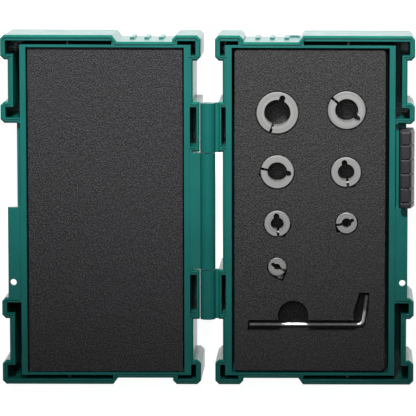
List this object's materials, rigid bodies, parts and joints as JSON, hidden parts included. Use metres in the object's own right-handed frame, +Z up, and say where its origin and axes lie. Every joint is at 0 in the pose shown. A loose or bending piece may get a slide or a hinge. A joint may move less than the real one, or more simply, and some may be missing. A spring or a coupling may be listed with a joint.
{
  "type": "drill stop collar case",
  "caption": "Hinged plastic tool case lying open, with split drill stop collars in a foam tray, a hex key and a sliding side latch.",
  "frame": {"origin": "on the surface the open case lies on, below the hinge axis, midway between its two ends", "axes": "+X from the hinge to the base tray, -X to the lid tray, +Y along the hinge towards the largest collars, +Z up out of the open trays"},
  "size_m": [0.1974, 0.1682, 0.0447],
  "materials": {
    "case_plastic": "fine-grained moulded plastic, teal green",
    "latch_plastic": "moulded plastic, dark grey",
    "foam": "closed-cell foam, dark grey, grained",
    "collar_steel": "machined steel, satin",
    "screw_steel": "plated steel, satin",
    "key_steel": "nickel-plated steel, satin",
    "pin_steel": "drawn steel"
  },
  "bodies": {
    "base": {"base_tray": "case_plastic", "base_foam_top": "foam", "base_foam_bottom": "foam", "hinge_pin": "pin_steel"},
    "lid": {"lid_tray": "case_plastic", "lid_foam": "foam"},
    "latch": {"latch_slider": "latch_plastic"},
    "key": {"hex_key": "key_steel"},
    "collar_1_2in": {"collar_1_2in": "collar_steel"},
    "screw_1_2in": {"clamp_screw_1_2in": "screw_steel"},
    "collar_7_16in": {"collar_7_16in": "collar_steel"},
    "screw_7_16in": {"clamp_screw_7_16in": "screw_steel"},
    "collar_3_8in": {"collar_3_8in": "collar_steel"},
    "screw_3_8in": {"clamp_screw_3_8in": "screw_steel"},
    "collar_5_16in": {"collar_5_16in": "collar_steel"},
    "screw_5_16in": {"clamp_screw_5_16in": "screw_steel"},
    "collar_1_4in": {"collar_1_4in": "collar_steel"},
    "screw_1_4in": {"clamp_screw_1_4in": "screw_steel"},
    "collar_3_16in": {"collar_3_16in": "collar_steel"},
    "screw_3_16in": {"clamp_screw_3_16in": "screw_steel"},
    "collar_1_8in": {"collar_1_8in": "collar_steel"},
    "screw_1_8in": {"clamp_screw_1_8in": "screw_steel"}
  },
  "joints": [
    {"name": "lid_hinge", "type": "hinge", "parent": "base", "child": "lid", "pos_m": [0, 0, 0.04015], "axis": [0, 1, 0], "range_deg": [0, 180]},
    {"name": "latch_slide", "type": "slide", "parent": "base", "child": "latch", "axis": [0, -1, 0], "range_m": [0, 0.0295]},
    {"name": "key_lift", "type": "slide", "parent": "base", "child": "key", "axis": [0, 0, -1], "range_m": [-0.018, 0]},
    {"name": "collar_1_2in_lift", "type": "slide", "parent": "base", "child": "collar_1_2in", "axis": [0, 0, -1], "range_m": [-0.018, 0]},
    {"name": "screw_1_2in_turn", "type": "hinge", "parent": "collar_1_2in", "child": "screw_1_2in", "pos_m": [0.03029, 0.03939, 0.0338], "axis": [0.9397, -0.342, 0], "range_deg": [0, 360]},
    {"name": "collar_7_16in_lift", "type": "slide", "parent": "base", "child": "collar_7_16in", "axis": [0, 0, -1], "range_m": [-0.018, 0]},
    {"name": "screw_7_16in_turn", "type": "hinge", "parent": "collar_7_16in", "child": "screw_7_16in", "pos_m": [0.06058, 0.05311, 0.0338], "axis": [-0.6428, -0.766, 0], "range_deg": [0, 360]},
    {"name": "collar_3_8in_lift", "type": "slide", "parent": "base", "child": "collar_3_8in", "axis": [0, 0, -1], "range_m": [-0.018, 0]},
    {"name": "screw_3_8in_turn", "type": "hinge", "parent": "collar_3_8in", "child": "screw_3_8in", "pos_m": [0.02685, 0.02003, 0.0338], "axis": [-0.2079, -0.9781, 0], "range_deg": [0, 360]},
    {"name": "collar_5_16in_lift", "type": "slide", "parent": "base", "child": "collar_5_16in", "axis": [0, 0, -1], "range_m": [-0.018, 0]},
    {"name": "screw_5_16in_turn", "type": "hinge", "parent": "collar_5_16in", "child": "screw_5_16in", "pos_m": [0.06678, 0.01316, 0.0338], "axis": [0.9903, 0.1392, 0], "range_deg": [0, 360]},
    {"name": "collar_1_4in_lift", "type": "slide", "parent": "base", "child": "collar_1_4in", "axis": [0, 0, -1], "range_m": [-0.018, 0]},
    {"name": "screw_1_4in_turn", "type": "hinge", "parent": "collar_1_4in", "child": "screw_1_4in", "pos_m": [0.03351, -0.01091, 0.0338], "axis": [0.9962, 0.0872, 0], "range_deg": [0, 360]},
    {"name": "collar_3_16in_lift", "type": "slide", "parent": "base", "child": "collar_3_16in", "axis": [0, 0, -1], "range_m": [-0.018, 0]},
    {"name": "screw_3_16in_turn", "type": "hinge", "parent": "collar_3_16in", "child": "screw_3_16in", "pos_m": [0.06264, -0.00664, 0.0338], "axis": [0.225, -0.9744, 0], "range_deg": [0, 360]},
    {"name": "collar_1_8in_lift", "type": "slide", "parent": "base", "child": "collar_1_8in", "axis": [0, 0, -1], "range_m": [-0.018, 0]},
    {"name": "screw_1_8in_turn", "type": "hinge", "parent": "collar_1_8in", "child": "screw_1_8in", "pos_m": [0.03585, -0.02839, 0.0338], "axis": [-0.4226, -0.9063, 0], "range_deg": [0, 360]}
  ]
}
